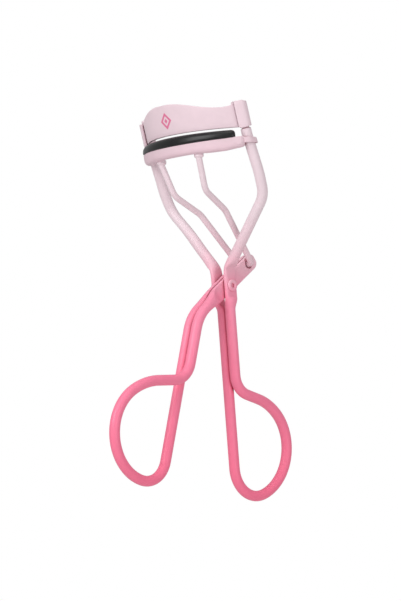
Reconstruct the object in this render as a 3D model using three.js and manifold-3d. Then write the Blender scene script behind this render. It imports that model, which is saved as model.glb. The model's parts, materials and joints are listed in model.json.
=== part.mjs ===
// Eyelash curler: one bent-wire frame and one bent-wire lever, hinged on a hollow rivet like
// scissors, with a fixed curved bar on top of the frame and a sliding curved bar, which carries
// the rubber pad, hung on two thin legs from the lever's hook end.
// Millimetres. The origin is the middle of the pivot, X runs along the pivot, Z up the handles
// towards the bars, and -Y is the side that the bars bulge to.
import * as THREE from 'three';
import { mergeVertices } from 'three/addons/utils/BufferGeometryUtils.js';
import Module from 'manifold-3d';

const wasm = await Module();
wasm.setup();

// Wire sizes
const WIRE_R = 1.35; // frame and lever rod
const WIRE_SIDES = 12;
const WIRE_STEP = 1.3; // length of one straight piece of a modelled wire
const LEG_R = 0.8; // jaw leg rod
const LEG_SIDES = 10;
const LEG_STEP = 0.8;
const STRAND_X = 1.38; // the two strands of a handle lie side by side at plus and minus this

// Posts: the two upright ends of the frame wire
const POST_X = 17.3;
const SLIDE = { y: -4.7, z: 34.9 }; // where the lower bar's eyelets sit at rest
const SLIDE_SLOPE = 0.337; // how far the post leans to -Y for each mm up, where the bar slides
const NECK_Z = 36.9; // above this the post leans less
const NECK_SLOPE = 0.2126;
const SHOULDER_Z = 38.1; // the post is turned down above this, to enter the upper bar
const POST_TOP_Z = 45.3;
const TENON_R = 0.93;
const TENON_ROOT = 0.8; // length of the turned-down end that is inside the full rod
const POST_BOTTOM = { z: 27, fillet: 20 };
const ARM_BEND = { x: 16.4, z: 21.4, fillet: 7 };

// Pivot
const FRAME_PLATE = { inner: 1.45, outer: 2.7, width: 3.8, top: 4.6, bottom: -4.2 };
const LEFT_OUT = { by: 0.4, top: 14, bottom: -12 }; // the left plate stands further out than the right
const PLATE_X = (FRAME_PLATE.inner + FRAME_PLATE.outer) / 2;
const BLADE = {
  inner: 0.35, outer: 1.3, width: 4.15, offset: 0.15, angle: 34, tail: -4.6, tip: 12.7, corner: 1.8,
};
const PRESS_RUN = 2.2; // length over which a round wire becomes a flat plate
const PLATE_FILLET = 3;
const RIVET_HOLE_R = 1.02;
const RIVET = { shank: 0.97, head: 1.5, headTall: 0.55, well: 0.62, wellMouth: 0.7, dome: 0.7 };
const HOOK_HOLE_R = 1.1;
const HOOK = { along: 10.1, across: 0.3 }; // the leg hook's centre, measured on the blade

// Handles: a strand drops from the pivot, bends out, sweeps round and comes back up
const FRAME_LOOP = {
  start: 22.97, bend: 5.14, turn: 73.8, ease: 15.62, easeTo: 45.7, sweep: 12.12, sweepTo: 30.6,
  under: 12.7, underTo: 72, heel: 7.22, crossFrom: 0.13, crossTo: 0.9,
};
const LEVER_LOOP = {
  start: 23.91, bend: 6.25, turn: 70.1, ease: 18.13, easeTo: 41.2, sweep: 12.08, sweepTo: 35.1,
  under: 12.43, underTo: 93.4, heel: 7.18, crossFrom: 0.15, crossTo: 0.83,
};
const LEVER_LEAN = 19.3; // angle of the lever handle from the frame handle
const LEVER_LINE = 8.3; // distance from the pivot to the line of the lever's straight strand
const LEVER_FILLET = 11;

// Bars: arcs about one upright axis
const BAR_SAG = 9.2; // how far the post circle's middle stands in front of the posts
const POST_ARC_R = (POST_X ** 2 + BAR_SAG ** 2) / (2 * BAR_SAG);
const POST_ARC = Math.asin(POST_X / POST_ARC_R); // half angle between the posts
const UPPER = {
  r: 20.7, thick: 0.8, base: 38.6, dip: 5.25, hump: 2.35, humpArc: 42, flare: 0.35, end: 51.5,
};
const SLEEVE = {
  bore: 1.02, r: 1.68, flap: 2.2, flapThick: 0.62, seam: 1.25, lip: -0.92, gap: -0.05, base: 38.5, tall: 6.5,
};
const LOWER = { r: 20.7, half: 1.6, base: 33.5, tall: 2.7, wall: 0.5, floor: 0.7, end: 53 };
const JAW_DIP = 0.065; // how far the lower bar sinks for each mm that it stands in front of the posts
const EYELET = { wall: 0.4, play: 0.1, slot: 0.42, slotShift: -0.1, base: 34, tall: 1.8 };
const PAD = { stem: 1.02, half: 1.85, base: 34.28, lip: 36.26, side: 0.35, top: 37.95, end: 48.4 };
const PAD_END_TAPER = [0.6, 0.9];

// Jaw legs, from the lower bar down to the lever's hook holes
const LEG_TOP = { x: 6.8, y: -12.55, z: 33.35 };
const LEG_COLLAR = { r: 1.2, tall: 1.2, z: 31.7 };
const LEG_KNEE = { x: 5.6, y: -9.95, z: 23.8, fillet: 4 };
const LEG_SHIN = { x: 4.5, y: -2.2, z: 19.1, fillet: 5 };
const LEG_HOOK = { x: 2.25, inner: 0.15, fillet: 0.95 };

const CLEARANCE = 0.06;
const BLUNT = 0.35; // keeps the blade's rounded end from closing to a point
const rad = THREE.MathUtils.degToRad;
const smooth = THREE.MathUtils.smoothstep;

// ---------------------------------------------------------------- solids

function toSolid(geometry) {
  const bare = geometry.clone();
  bare.deleteAttribute('normal');
  bare.deleteAttribute('uv');
  const merged = mergeVertices(bare, 1e-5);
  const mesh = new wasm.Mesh({
    numProp: 3,
    vertProperties: new Float32Array(merged.attributes.position.array),
    triVerts: new Uint32Array(merged.index.array),
  });
  return new wasm.Manifold(mesh);
}

function toGeometry(solid) {
  const mesh = solid.getMesh();
  const geometry = new THREE.BufferGeometry();
  geometry.setAttribute('position', new THREE.BufferAttribute(mesh.vertProperties, 3));
  geometry.setIndex(new THREE.BufferAttribute(mesh.triVerts, 1));
  geometry.computeVertexNormals();
  return geometry;
}

// ---------------------------------------------------------------- wires

// A curve through given points at a steady pace, so that an extrusion's steps are all alike.
class WirePath extends THREE.Curve {
  constructor(points) {
    super();
    this.points = points;
    this.marks = [0];
    for (let i = 1; i < points.length; i++) {
      this.marks.push(this.marks[i - 1] + points[i].distanceTo(points[i - 1]));
    }
    this.arcLengthDivisions = 4 * points.length;
  }

  get total() {
    return this.marks[this.marks.length - 1];
  }

  getPoint(t, target = new THREE.Vector3()) {
    const along = THREE.MathUtils.clamp(t, 0, 1) * this.total;
    let i = 1;
    while (i < this.marks.length - 1 && this.marks[i] < along) i++;
    const part = (along - this.marks[i - 1]) / (this.marks[i] - this.marks[i - 1]);
    return target.lerpVectors(this.points[i - 1], this.points[i], part);
  }
}

// The points of a rod bent at each corner. A corner is a Vector3 with an optional fillet radius.
function bentRod(corners) {
  const points = [corners[0].at.clone()];
  for (let i = 1; i < corners.length - 1; i++) {
    const { at, fillet } = corners[i];
    const back = corners[i - 1].at.clone().sub(at).normalize();
    const onward = corners[i + 1].at.clone().sub(at).normalize();
    const turn = Math.PI - back.angleTo(onward);
    if (!fillet || turn < 1e-4) {
      points.push(at.clone());
      continue;
    }
    const reach = fillet * Math.tan(turn / 2);
    const centreLine = back.clone().add(onward).normalize();
    const centre = at.clone().addScaledVector(centreLine, fillet / Math.cos(turn / 2));
    const from = at.clone().addScaledVector(back, reach).sub(centre);
    const to = at.clone().addScaledVector(onward, reach).sub(centre);
    const pieces = Math.max(2, Math.ceil(turn / rad(8)));
    for (let k = 0; k <= pieces; k++) {
      const share = k / pieces;
      const spoke = from.clone().multiplyScalar(Math.sin((1 - share) * turn));
      spoke.addScaledVector(to, Math.sin(share * turn)).divideScalar(Math.sin(turn));
      points.push(centre.clone().add(spoke));
    }
  }
  points.push(corners[corners.length - 1].at.clone());
  return points;
}

function wire(points, radius, sides, step = WIRE_STEP) {
  const path = new WirePath(points);
  const section = new THREE.Shape();
  section.absarc(0, 0, radius, 0, 2 * Math.PI);
  return new THREE.ExtrudeGeometry(section, {
    extrudePath: path,
    steps: Math.round(path.total / step),
    curveSegments: sides / 2,
    bevelEnabled: false,
  });
}

// One finger loop in its own plane: x is how far out from the strand, y how far down it. It is a
// bend outwards, a straight, an easy sweep that tightens, a sweep on round underneath and a heel
// that turns back up the strand. The straight is as long as it takes to close the loop.
function fingerLoop(loop) {
  const turn = rad(loop.turn);
  const easeTo = rad(loop.easeTo);
  const sweepTo = rad(loop.sweepTo);
  const underTo = rad(loop.underTo);
  const outByBend = loop.bend * (1 - Math.cos(turn)) + loop.ease * (Math.cos(easeTo) - Math.cos(turn));
  const outBySweep = loop.sweep * (Math.cos(sweepTo) - Math.cos(easeTo));
  const backByUnder = loop.under * (Math.cos(sweepTo) - Math.cos(underTo));
  const backByHeel = loop.heel * (1 + Math.cos(underTo));
  const straight = (backByUnder + backByHeel - outByBend - outBySweep) / Math.sin(turn);
  const points = [new THREE.Vector2(0, loop.start)];
  let heading = 0;
  const advance = (length) => {
    const last = points[points.length - 1];
    points.push(new THREE.Vector2(last.x + length * Math.sin(heading), last.y + length * Math.cos(heading)));
  };
  const sweep = (radius, angle) => {
    const pieces = Math.ceil(Math.abs(angle) / rad(8));
    const chord = 2 * radius * Math.sin(Math.abs(angle) / pieces / 2);
    for (let k = 0; k < pieces; k++) {
      heading += angle / pieces / 2;
      advance(chord);
      heading += angle / pieces / 2;
    }
  };
  sweep(loop.bend, turn);
  advance(straight);
  sweep(loop.ease, easeTo - turn);
  sweep(loop.sweep, -easeTo - sweepTo);
  sweep(loop.under, sweepTo - underTo);
  sweep(loop.heel, underTo - Math.PI);
  return points;
}

// Places a finger loop in space, crossing from the +X strand to the -X strand on its way round.
function loopInSpace(loop, down, out, base) {
  const flat = fingerLoop(loop);
  const marks = [0];
  for (let i = 1; i < flat.length; i++) marks.push(marks[i - 1] + flat[i].distanceTo(flat[i - 1]));
  return flat.map((p, i) => {
    const crossed = smooth(marks[i] / marks[flat.length - 1], loop.crossFrom, loop.crossTo);
    const at = base.clone().addScaledVector(down, p.y).addScaledVector(out, p.x);
    return at.setX(THREE.MathUtils.lerp(STRAND_X, -STRAND_X, crossed));
  });
}

// Presses part of a wire flat between two planes of constant X, as a forming tool does: pressed
// is 1 where the wire is a plate and 0 where it is round, and the plate spreads to its width.
function pressFlat(geometry, wireX, plate, axes, pressed, endWidth = () => 1) {
  const position = geometry.attributes.position;
  const shift = (plate.inner + plate.outer) / 2 - wireX;
  const at = new THREE.Vector3();
  for (let i = 0; i < position.count; i++) {
    at.fromBufferAttribute(position, i);
    const along = at.dot(axes.along);
    const across = at.dot(axes.across) - axes.offset;
    const amount = pressed(along);
    if (amount === 0) continue;
    const low = THREE.MathUtils.lerp(0, plate.inner, amount);
    const high = plate.outer + (1 - amount) * 2 * WIRE_R;
    const size = THREE.MathUtils.clamp(Math.abs(at.x) + amount * shift, low, high);
    const spread = THREE.MathUtils.lerp(1, plate.width / (2 * WIRE_R), amount) * endWidth(along);
    at.addScaledVector(axes.across, across * (spread - 1));
    at.x = Math.sign(at.x) * size;
    position.setXYZ(i, at.x, at.y, at.z);
  }
  return geometry;
}

function crossPin(radius, y, z, sides = 20) {
  const pin = new THREE.CylinderGeometry(radius, radius, 4 * FRAME_PLATE.outer, sides);
  pin.rotateZ(Math.PI / 2);
  pin.translate(0, y, z);
  return toSolid(pin);
}

// ---------------------------------------------------------------- frame wire

function postY(z) {
  const neckY = SLIDE.y - SLIDE_SLOPE * (NECK_Z - SLIDE.z);
  if (z > NECK_Z) return neckY - NECK_SLOPE * (z - NECK_Z);
  return SLIDE.y - SLIDE_SLOPE * (z - SLIDE.z);
}

function postPoint(side, z) {
  return new THREE.Vector3(side * POST_X, postY(z), z);
}

// One half of the frame wire, from the post's shoulder down to where its handle strand starts.
function frameHalf(side) {
  return bentRod([
    { at: postPoint(side, SHOULDER_Z) },
    { at: postPoint(side, NECK_Z) },
    { at: postPoint(side, POST_BOTTOM.z), fillet: POST_BOTTOM.fillet },
    { at: new THREE.Vector3(side * ARM_BEND.x, 0, ARM_BEND.z), fillet: ARM_BEND.fillet },
    { at: new THREE.Vector3(side * PLATE_X, 0, FRAME_PLATE.top), fillet: PLATE_FILLET },
    { at: new THREE.Vector3(side * PLATE_X, 0, FRAME_PLATE.bottom), fillet: PLATE_FILLET },
    { at: new THREE.Vector3(side * STRAND_X, 0, FRAME_PLATE.bottom - PRESS_RUN), fillet: PLATE_FILLET },
    { at: new THREE.Vector3(side * STRAND_X, 0, -FRAME_LOOP.start) },
  ]);
}

function tenon(side) {
  const from = postPoint(side, SHOULDER_Z - TENON_ROOT);
  const to = postPoint(side, POST_TOP_Z);
  const peg = new THREE.CylinderGeometry(TENON_R, TENON_R, from.distanceTo(to), 16);
  peg.rotateX(Math.PI / 2);
  peg.lookAt(to.clone().sub(from));
  const middle = from.add(to).multiplyScalar(0.5);
  peg.translate(middle.x, middle.y, middle.z);
  return toSolid(peg);
}

// Moves the left plate out, fading to nothing up its arm and down its strand.
function moveLeftOut(geometry) {
  const position = geometry.attributes.position;
  for (let i = 0; i < position.count; i++) {
    const x = position.getX(i);
    const z = position.getZ(i);
    const below = smooth(z, LEFT_OUT.bottom, FRAME_PLATE.bottom);
    const above = 1 - smooth(z, FRAME_PLATE.top, LEFT_OUT.top);
    if (x < 0) position.setX(i, x - LEFT_OUT.by * below * above);
  }
  return geometry;
}

function frameWire() {
  const down = new THREE.Vector3(0, 0, -1);
  const out = new THREE.Vector3(0, 1, 0);
  const loop = loopInSpace(FRAME_LOOP, down, out, new THREE.Vector3());
  const points = [...frameHalf(1), ...loop.slice(1), ...frameHalf(-1).reverse()];
  const axes = { along: new THREE.Vector3(0, 0, 1), across: out, offset: 0 };
  const pressed = (z) => {
    const fromTop = 1 - smooth(z, FRAME_PLATE.top, FRAME_PLATE.top + PRESS_RUN);
    return fromTop * smooth(z, FRAME_PLATE.bottom - PRESS_RUN, FRAME_PLATE.bottom);
  };
  const rod = pressFlat(wire(points, WIRE_R, WIRE_SIDES), PLATE_X, FRAME_PLATE, axes, pressed);
  return toSolid(moveLeftOut(rod))
    .add(tenon(1))
    .add(tenon(-1))
    .subtract(crossPin(RIVET_HOLE_R, 0, 0));
}

// ---------------------------------------------------------------- lever wire

const bladeAlong = new THREE.Vector3(0, Math.cos(rad(BLADE.angle)), Math.sin(rad(BLADE.angle)));
const bladeAcross = new THREE.Vector3(0, -Math.sin(rad(BLADE.angle)), Math.cos(rad(BLADE.angle)));
const onBlade = (along, across, x = 0) =>
  new THREE.Vector3(x, 0, 0).addScaledVector(bladeAlong, along).addScaledVector(bladeAcross, across);

// Where the blade's line meets the line of the lever's straight strand.
function leverElbow(down, base) {
  const start = onBlade(0, BLADE.offset);
  const gap = base.clone().sub(start);
  const cross = (a, b) => a.y * b.z - a.z * b.y;
  return start.addScaledVector(bladeAlong, cross(gap, down) / cross(bladeAlong, down));
}

function leverHalf(side, down, base) {
  return bentRod([
    { at: onBlade(BLADE.tip, BLADE.offset, side * STRAND_X) },
    { at: leverElbow(down, base).setX(side * STRAND_X), fillet: LEVER_FILLET },
    { at: base.clone().addScaledVector(down, LEVER_LOOP.start).setX(side * STRAND_X) },
  ]);
}

function leverWire() {
  const lean = rad(LEVER_LEAN);
  const down = new THREE.Vector3(0, -Math.sin(lean), -Math.cos(lean));
  const out = new THREE.Vector3(0, -Math.cos(lean), Math.sin(lean));
  const base = out.clone().multiplyScalar(LEVER_LINE);
  const loop = loopInSpace(LEVER_LOOP, down, out, base);
  const points = [...leverHalf(1, down, base), ...loop.slice(1), ...leverHalf(-1, down, base).reverse()];
  const axes = { along: bladeAlong, across: bladeAcross, offset: BLADE.offset };
  const pressed = (along) => smooth(along, BLADE.tail - PRESS_RUN, BLADE.tail);
  const endWidth = (along) => {
    const into = 1 - (BLADE.tip - along) / BLADE.corner;
    return into > 0 ? Math.max(BLUNT, 1 - into ** 3) ** (1 / 3) : 1;
  };
  const rod = pressFlat(wire(points, WIRE_R, WIRE_SIDES), STRAND_X, BLADE, axes, pressed, endWidth);
  const hook = onBlade(HOOK.along, HOOK.across);
  return toSolid(rod)
    .subtract(crossPin(RIVET_HOLE_R, 0, 0))
    .subtract(crossPin(HOOK_HOLE_R, hook.y, hook.z));
}

// ---------------------------------------------------------------- bars

const arcCentreY = (z) => postY(z) + POST_ARC_R * Math.cos(POST_ARC);

// A band of a circle about the bars' axis, drawn in plan, from -end to +end degrees.
function arcBand(inner, outer, end) {
  const band = new THREE.Shape();
  const from = -Math.PI / 2 - rad(end);
  const to = -Math.PI / 2 + rad(end);
  band.absarc(0, 0, outer, from, to, false);
  band.absarc(0, 0, inner, to, from, true);
  return band;
}

function upright(shape, base, tall, curveSegments = 24) {
  const block = new THREE.ExtrudeGeometry(shape, { depth: tall, curveSegments, bevelEnabled: false });
  block.translate(0, 0, base);
  return block;
}

// Leans a block over towards -Y, with its base at height z left where it is.
function lean(geometry, slope, z) {
  const shear = new THREE.Matrix4().makeShear(0, 0, 0, 0, 0, -slope);
  geometry.translate(0, 0, -z);
  geometry.applyMatrix4(shear);
  geometry.translate(0, 0, z);
  return geometry;
}

function upperTop(angle) {
  const onHump = Math.abs(angle) < UPPER.humpArc;
  const hump = onHump ? 0.5 + 0.5 * Math.cos((Math.PI * angle) / UPPER.humpArc) : 0;
  const flare = UPPER.flare * smooth(Math.abs(angle), UPPER.humpArc, UPPER.end);
  return UPPER.dip + UPPER.hump * hump + flare;
}

// The sheet's outline as seen from the front, so that its top edge can be cut to shape.
function upperOutline() {
  const outline = new THREE.Shape();
  const wide = POST_X + 4;
  const deep = 60;
  outline.moveTo(-wide, UPPER.base - 1);
  outline.lineTo(wide, UPPER.base - 1);
  for (let angle = UPPER.end; angle >= -UPPER.end; angle -= UPPER.end / 18) {
    const x = angle === UPPER.end ? wide : UPPER.r * Math.sin(rad(angle));
    outline.lineTo(x, UPPER.base + upperTop(angle));
  }
  outline.lineTo(-wide, UPPER.base + upperTop(UPPER.end));
  const block = new THREE.ExtrudeGeometry(outline, { depth: deep, bevelEnabled: false });
  block.rotateX(Math.PI / 2);
  block.translate(0, deep / 2, 0);
  return toSolid(block);
}

// The rolled end of the sheet in plan: a ring round the post with a flap lying on its front.
function sleeveShape() {
  const ring = new THREE.Shape();
  ring.moveTo(SLEEVE.flap, SLEEVE.r);
  ring.absarc(0, 0, SLEEVE.r, Math.PI / 2, -Math.PI / 2 - 0.01, false);
  ring.lineTo(SLEEVE.flap, SLEEVE.lip);
  ring.lineTo(SLEEVE.flap, SLEEVE.gap);
  ring.lineTo(SLEEVE.seam, SLEEVE.gap);
  ring.lineTo(SLEEVE.seam, SLEEVE.r - SLEEVE.flapThick);
  ring.lineTo(SLEEVE.flap, SLEEVE.r - SLEEVE.flapThick);
  ring.closePath();
  const bore = new THREE.Path();
  bore.absarc(0, 0, SLEEVE.bore, 0, 2 * Math.PI, true);
  ring.holes.push(bore);
  return ring;
}

function sleeve(side) {
  const block = upright(sleeveShape(), 0, SLEEVE.tall, 12);
  const inward = new THREE.Matrix4().makeBasis(
    new THREE.Vector3(-side * Math.cos(POST_ARC), -Math.sin(POST_ARC), 0),
    new THREE.Vector3(side * Math.sin(POST_ARC), -Math.cos(POST_ARC), 0),
    new THREE.Vector3(0, 0, 1),
  );
  block.applyMatrix4(inward);
  if (side < 0) flipFaces(block);
  lean(block, NECK_SLOPE, 0);
  block.translate(side * POST_X, postY(SLEEVE.base), SLEEVE.base);
  return toSolid(block);
}

function flipFaces(geometry) {
  const position = geometry.attributes.position;
  const corner = new THREE.Vector3();
  const other = new THREE.Vector3();
  for (let i = 0; i < position.count; i += 3) {
    corner.fromBufferAttribute(position, i);
    other.fromBufferAttribute(position, i + 1);
    position.setXYZ(i, other.x, other.y, other.z);
    position.setXYZ(i + 1, corner.x, corner.y, corner.z);
  }
}

function upperBar() {
  const half = UPPER.thick / 2;
  const band = arcBand(UPPER.r - half, UPPER.r + half, UPPER.end);
  const sheet = upright(band, UPPER.base, UPPER.dip + UPPER.hump + 1);
  sheet.translate(0, arcCentreY(UPPER.base), 0);
  lean(sheet, NECK_SLOPE, UPPER.base);
  return toSolid(sheet).intersect(upperOutline()).add(sleeve(1)).add(sleeve(-1));
}

// At rest the lower bar stands right under the upper bar's edge.
const jawCentreY = arcCentreY(UPPER.base);

const jawDip = (y) => JAW_DIP * (y - SLIDE.y);

// Sinks a block the further it stands in front of the posts.
function dipped(geometry) {
  const shear = new THREE.Matrix4().makeShear(0, 0, 0, JAW_DIP, 0, 0);
  geometry.applyMatrix4(shear);
  geometry.translate(0, 0, -JAW_DIP * SLIDE.y);
  return geometry;
}

// An upright slot round a post, long in Y, leaning as the post leans.
function slotBlock(side, halfX, halfY, base, tall) {
  const slot = new THREE.Shape();
  const straight = halfY - halfX;
  slot.absarc(0, straight, halfX, 0, Math.PI, false);
  slot.absarc(0, -straight, halfX, Math.PI, 2 * Math.PI, false);
  const block = upright(slot, base, tall, 10);
  lean(block, SLIDE_SLOPE, SLIDE.z);
  block.translate(side * POST_X, SLIDE.y + EYELET.slotShift, 0);
  return toSolid(block);
}

function lowerBar() {
  const { r, half, wall, floor, base, tall, end } = LOWER;
  const placed = (block) => dipped(block.translate(0, jawCentreY, 0));
  const body = placed(upright(arcBand(r - half, r + half, end), base, tall));
  const within = arcBand(r - half + wall, r + half - wall, PAD.end + 1);
  const trough = placed(upright(within, base + floor, tall));
  const boreX = WIRE_R + EYELET.play;
  const boreY = boreX + EYELET.slot;
  let bar = toSolid(body);
  for (const side of [1, -1]) {
    const { wall: rim, base: low, tall: high } = EYELET;
    bar = bar.add(slotBlock(side, boreX + rim, boreY + rim, low, high));
    bar = bar.subtract(slotBlock(side, boreX, boreY, base - 5, tall + 10));
    bar = bar.subtract(legSocket(side));
  }
  return bar.subtract(toSolid(trough));
}

// A blind hole in the bar's floor, which takes the top of a leg.
function legSocket(side) {
  const underside = LOWER.base + jawDip(LEG_TOP.y);
  const deep = LEG_TOP.z + CLEARANCE - underside;
  const hole = new THREE.CylinderGeometry(LEG_R + CLEARANCE, LEG_R + CLEARANCE, 2 * deep, 16);
  hole.rotateX(Math.PI / 2);
  hole.translate(side * LEG_TOP.x, LEG_TOP.y, underside);
  return toSolid(hole);
}

// The pad's section: a stem that stands in the channel, and a crowned head that lies over its walls.
function pad() {
  const { stem, half, base, lip, side, top } = PAD;
  const section = new THREE.Shape();
  section.moveTo(-stem, base);
  section.lineTo(stem, base);
  section.lineTo(stem, lip);
  section.lineTo(half, lip);
  const crown = top - lip - side;
  for (let k = 0; k <= 8; k++) {
    const angle = (Math.PI * k) / 8;
    section.lineTo(half * Math.cos(angle), lip + side + crown * Math.sin(angle));
  }
  section.lineTo(-half, lip);
  section.lineTo(-stem, lip);
  section.closePath();
  const line = [];
  for (let k = 0; k <= 24; k++) {
    const angle = rad(PAD.end) * (1 - (2 * k) / 24);
    line.push(new THREE.Vector3(LOWER.r * Math.sin(angle), -LOWER.r * Math.cos(angle), 0));
  }
  return padAlong(section, line);
}

function padAlong(section, line) {
  const last = line.length - 1;
  const block = new THREE.ExtrudeGeometry(section, { depth: 1, steps: last, bevelEnabled: false });
  const position = block.attributes.position;
  for (let i = 0; i < position.count; i++) {
    const station = Math.round(position.getZ(i) * last);
    const at = line[station];
    const outward = at.clone().normalize();
    const taper = PAD_END_TAPER[Math.min(station, last - station)] ?? 1;
    const across = position.getX(i) * taper;
    const y = at.y + outward.y * across + jawCentreY;
    const up = PAD.lip + (position.getY(i) - PAD.lip) * (1 + taper) / 2;
    const sunk = jawDip(y) * Math.min(1, (PAD.top - up) / (PAD.top - PAD.lip));
    position.setXYZ(i, at.x + outward.x * across, y, up + sunk);
  }
  return toSolid(block);
}

// ---------------------------------------------------------------- legs and rivet

function jawLeg(side) {
  const hook = onBlade(HOOK.along, HOOK.across);
  const at = (p) => new THREE.Vector3(side * p.x, p.y, p.z);
  const collarAt = new THREE.Vector3(side * LEG_TOP.x, LEG_TOP.y, LEG_COLLAR.z);
  const points = bentRod([
    { at: at(LEG_TOP) },
    { at: collarAt },
    { at: at(LEG_KNEE), fillet: LEG_KNEE.fillet },
    { at: at(LEG_SHIN), fillet: LEG_SHIN.fillet },
    { at: new THREE.Vector3(side * LEG_HOOK.x, hook.y, hook.z), fillet: LEG_HOOK.fillet },
    { at: new THREE.Vector3(side * LEG_HOOK.inner, hook.y, hook.z) },
  ]);
  const { r, tall, z } = LEG_COLLAR;
  const collar = new THREE.CylinderGeometry(r * 0.8, r, tall, 16);
  collar.rotateX(Math.PI / 2);
  collar.translate(side * LEG_TOP.x, LEG_TOP.y, z + tall / 2);
  return toSolid(wire(points, LEG_R, LEG_SIDES, LEG_STEP)).add(toSolid(collar));
}

// A hollow rivet turned about X: a domed head on the -X side, a rolled ring on the +X side.
function pivotRivet() {
  const face = FRAME_PLATE.outer + CLEARANCE;
  const leftFace = -face - LEFT_OUT.by;
  const { shank, head, headTall, well, wellMouth, dome } = RIVET;
  const profile = [
    [0, leftFace - dome],
    [head * 0.55, leftFace - dome * 0.85],
    [head * 0.9, leftFace - dome * 0.4],
    [head, leftFace],
    [shank, leftFace],
    [shank, face],
    [head, face],
    [head * 0.97, face + headTall * 0.5],
    [head * 0.8, face + headTall],
    [wellMouth + 0.1, face + headTall],
    [wellMouth, face + headTall * 0.8],
    [well, 0],
    [0, 0],
  ].map(([r, h]) => new THREE.Vector2(r, h));
  const turned = new THREE.LatheGeometry(profile, 20);
  turned.rotateZ(-Math.PI / 2);
  return toSolid(turned);
}

// ---------------------------------------------------------------- assembly

const blush = new THREE.Color(0.86, 0.7, 0.74);
const rose = new THREE.Color(0.84, 0.24, 0.4);
const black = new THREE.Color(0.02, 0.02, 0.02);

function named(name, solid, color, roughness = 0.4) {
  const material = new THREE.MeshStandardMaterial({ color, roughness, metalness: 0 });
  const mesh = new THREE.Mesh(toGeometry(solid), material);
  mesh.name = name;
  return mesh;
}

const curler = new THREE.Group();
curler.add(
  named('frame_wire', frameWire(), rose),
  named('lever_wire', leverWire(), rose),
  named('upper_bar', upperBar(), blush),
  named('lower_bar', lowerBar(), blush),
  named('rubber_pad', pad(), black, 0.25),
  named('jaw_leg_right', jawLeg(1), blush),
  named('jaw_leg_left', jawLeg(-1), blush),
  named('pivot_rivet', pivotRivet(), rose, 0.35),
);

export default curler;
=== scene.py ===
"""Eyelash curler: the finished look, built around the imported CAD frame.

Lengths are in millimetres until new_piece() turns them into metres. X runs along the pivot, Z up the
handles towards the bars, and -Y is the side that the bars bulge to.
"""

import json
import math

import bpy
import numpy as np
from mathutils import Matrix, Vector


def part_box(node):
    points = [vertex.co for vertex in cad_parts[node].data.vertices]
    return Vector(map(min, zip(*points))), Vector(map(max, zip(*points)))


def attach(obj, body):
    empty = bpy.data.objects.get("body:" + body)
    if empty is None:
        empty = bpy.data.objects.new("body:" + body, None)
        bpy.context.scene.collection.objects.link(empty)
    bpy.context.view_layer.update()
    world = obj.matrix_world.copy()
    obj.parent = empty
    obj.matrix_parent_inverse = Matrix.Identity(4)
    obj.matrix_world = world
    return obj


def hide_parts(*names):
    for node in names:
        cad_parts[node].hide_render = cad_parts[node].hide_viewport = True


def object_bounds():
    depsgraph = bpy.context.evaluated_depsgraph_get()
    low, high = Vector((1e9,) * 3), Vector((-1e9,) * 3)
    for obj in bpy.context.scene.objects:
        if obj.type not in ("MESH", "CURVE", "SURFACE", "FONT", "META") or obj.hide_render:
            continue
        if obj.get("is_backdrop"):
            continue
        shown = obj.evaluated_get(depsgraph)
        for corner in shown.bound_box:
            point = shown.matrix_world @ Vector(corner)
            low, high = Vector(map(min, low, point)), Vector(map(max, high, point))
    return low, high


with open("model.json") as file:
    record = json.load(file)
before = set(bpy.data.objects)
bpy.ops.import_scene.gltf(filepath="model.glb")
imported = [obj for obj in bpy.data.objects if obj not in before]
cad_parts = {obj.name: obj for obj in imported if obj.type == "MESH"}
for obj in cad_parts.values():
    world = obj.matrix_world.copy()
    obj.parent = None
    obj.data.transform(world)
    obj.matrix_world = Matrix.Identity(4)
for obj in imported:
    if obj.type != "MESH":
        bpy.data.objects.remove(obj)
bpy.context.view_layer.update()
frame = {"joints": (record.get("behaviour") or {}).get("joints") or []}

MM = 0.001
rad = math.radians
JOINTS = {joint["name"]: joint for joint in frame["joints"]}
PIVOT = np.array(JOINTS["lever_pivot"]["pos_m"]) / MM
HOOK = np.array(JOINTS["jaw_hook"]["pos_m"]) / MM


def box_mm(node):
    """Lowest and highest corner of a CAD node, in millimetres."""
    low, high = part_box(node)
    return np.array(low) / MM, np.array(high) / MM


# ---------------------------------------------------------------- driving dimensions

WIRE_R = 1.35
WIRE_SIDES = 64
WIRE_STEP = 0.4
LEG_R = 0.8
STRAND_X = 1.38

POST_X = 17.3
SLIDE = (-4.7, 34.9)  # y and z of the lower bar's eyelets on the posts
SLIDE_SLOPE = 0.337
NECK_Z = 36.9
NECK_SLOPE = 0.2126
SHOULDER = dict(z=38.1, run=0.25)
TENON = dict(r=0.93, rim=0.25, blunt=0.5)
POST_RIM_RISE = 0.2  # how far the rim of a leaning post's end stands above its middle
POST_TOP_Z = box_mm("frame_wire")[1][2] - POST_RIM_RISE
POST_BOTTOM = dict(z=27.0, fillet=20.0)
ARM_BEND = dict(x=16.4, z=21.4, fillet=7.0)

# A flat pressed in a wire fades out over a run past its ends, and starts to fade a little before them.
# Its outer face leans away as it fades, so that it meets the round wire without a step.
PLATE = dict(
    inner=1.45, outer=2.7, width=3.8, top=5.4, bottom=-3.4, edge=0.6, lean=6.0, lean_edge=2.0,
    past=2.86, before_top=1.2, before_bottom=0.6, fillet=3.0, to_strand=2.2,
)
PLATE_BEND = dict(z=4.6, fillet=7.0)
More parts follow.
